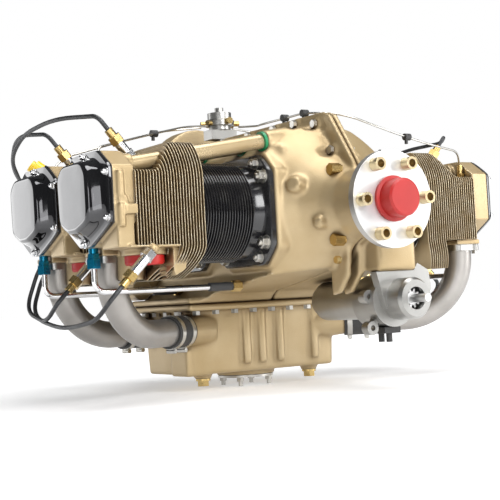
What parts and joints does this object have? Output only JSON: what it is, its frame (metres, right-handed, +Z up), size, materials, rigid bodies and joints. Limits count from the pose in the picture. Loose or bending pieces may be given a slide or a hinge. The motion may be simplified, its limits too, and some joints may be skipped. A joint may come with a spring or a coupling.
{
  "type": "flat aircraft engine",
  "caption": "Air-cooled horizontally opposed piston engine that turns a propeller directly from its crankshaft flange.",
  "frame": {"origin": "centre of the propeller flange's front face, on the crankshaft axis", "axes": "-Y forward along the crankshaft to the propeller, +X to the bank on the right seen from the propeller, +Z up"},
  "size_m": [0.848, 0.7955, 0.511],
  "materials": {
    "gold_paint": "satin champagne-gold enamel on castings",
    "black_paint": "satin black enamel on turned steel",
    "black_chrome": "gloss black chrome",
    "gasket": "matt",
    "plated_steel": "plated",
    "brass": "satin",
    "grey_aluminium": "satin, bead blasted",
    "rubber": "matt",
    "green_seal": "matt",
    "red_plastic": "moulded",
    "blue_anodised": "gloss anodised",
    "machined_steel": "machined",
    "piston_alloy": "turned",
    "dark_casting": "satin grey paint",
    "yellow_plastic": "moulded"
  },
  "bodies": {
    "engine": {"crankcase_left": "gold_paint", "crankcase_right": "gold_paint", "oil_sump": "gold_paint", "accessory_housing": "gold_paint", "cylinder_head_1": "gold_paint", "cylinder_head_2": "gold_paint", "cylinder_head_3": "gold_paint", "cylinder_head_4": "gold_paint", "pushrod_tubes": "gold_paint", "cylinder_barrel_1": "black_paint", "cylinder_barrel_2": "black_paint", "cylinder_barrel_3": "black_paint", "cylinder_barrel_4": "black_paint", "rocker_cover_1": "black_chrome", "rocker_cover_2": "black_chrome", "rocker_cover_3": "black_chrome", "rocker_cover_4": "black_chrome", "cover_gaskets": "gasket", "base_nuts": "plated_steel", "cover_screws": "plated_steel", "case_bolts": "plated_steel", "sump_fasteners": "plated_steel", "hose_clamps": "plated_steel", "spark_plugs": "plated_steel", "drain_tubes": "plated_steel", "injector_lines": "plated_steel", "throttle_pad_cover": "plated_steel", "mount_brackets": "plated_steel", "injector_nozzles": "brass", "flow_divider": "brass", "intake_pipes_left": "grey_aluminium", "intake_pipes_right": "grey_aluminium", "intake_flanges": "grey_aluminium", "starter_body": "grey_aluminium", "accessory_covers": "grey_aluminium", "intake_hoses": "rubber", "line_clamps": "rubber", "front_oil_seal": "rubber", "ignition_leads": "rubber", "tube_seals": "green_seal", "drain_fittings": "blue_anodised", "magneto_left": "dark_casting", "magneto_right": "dark_casting", "starter_motor": "dark_casting", "oil_filter": "dark_casting", "oil_filler_tube": "dark_casting"},
    "crankshaft": {"crankshaft": "machined_steel", "flange_bushings": "machined_steel"},
    "crank_cap": {"crank_cap": "red_plastic"},
    "camshaft": {"camshaft": "machined_steel"},
    "starter_pinion": {"starter_pinion": "machined_steel"},
    "dipstick": {"dipstick": "yellow_plastic"},
    "piston_1": {"piston_1": "piston_alloy"},
    "exhaust_plug_1": {"exhaust_plug_1": "red_plastic"},
    "piston_2": {"piston_2": "piston_alloy"},
    "exhaust_plug_2": {"exhaust_plug_2": "red_plastic"},
    "piston_3": {"piston_3": "piston_alloy"},
    "exhaust_plug_3": {"exhaust_plug_3": "red_plastic"},
    "piston_4": {"piston_4": "piston_alloy"},
    "exhaust_plug_4": {"exhaust_plug_4": "red_plastic"}
  },
  "joints": [
    {"name": "crank_spin", "type": "hinge", "parent": "engine", "child": "crankshaft", "pos_m": [0, 0, 0], "axis": [0, 1, 0], "continuous": true},
    {"name": "crank_cap_pull", "type": "slide", "parent": "crankshaft", "child": "crank_cap", "axis": [0, -1, 0], "range_m": [0, 0.04]},
    {"name": "cam_spin", "type": "hinge", "parent": "engine", "child": "camshaft", "pos_m": [0, 0, 0.106], "axis": [0, 1, 0], "continuous": true},
    {"name": "pinion_spin", "type": "hinge", "parent": "engine", "child": "starter_pinion", "pos_m": [0.066, 0, -0.1526], "axis": [0, 1, 0], "continuous": true},
    {"name": "dipstick_pull", "type": "slide", "parent": "engine", "child": "dipstick", "axis": [-0.7175, 0.318, 0.6197], "range_m": [0, 0.15]},
    {"name": "piston_1_stroke", "type": "slide", "parent": "engine", "child": "piston_1", "axis": [1, 0, 0], "range_m": [0, 0.1111]},
    {"name": "piston_2_stroke", "type": "slide", "parent": "engine", "child": "piston_2", "axis": [-1, 0, 0], "range_m": [0, 0.1111]},
    {"name": "piston_3_stroke", "type": "slide", "parent": "engine", "child": "piston_3", "axis": [-1, 0, 0], "range_m": [0, 0.1111]},
    {"name": "piston_4_stroke", "type": "slide", "parent": "engine", "child": "piston_4", "axis": [1, 0, 0], "range_m": [0, 0.1111]},
    {"name": "exhaust_plug_1_pull", "type": "slide", "parent": "engine", "child": "exhaust_plug_1", "axis": [0, 0, -1], "range_m": [0, 0.03]},
    {"name": "exhaust_plug_2_pull", "type": "slide", "parent": "engine", "child": "exhaust_plug_2", "axis": [0, 0, -1], "range_m": [0, 0.03]},
    {"name": "exhaust_plug_3_pull", "type": "slide", "parent": "engine", "child": "exhaust_plug_3", "axis": [0, 0, -1], "range_m": [0, 0.03]},
    {"name": "exhaust_plug_4_pull", "type": "slide", "parent": "engine", "child": "exhaust_plug_4", "axis": [0, 0, -1], "range_m": [0, 0.03]}
  ],
  "couplings": [
    {"joint": "cam_spin", "follows": "crank_spin", "ratio": -0.5}
  ]
}
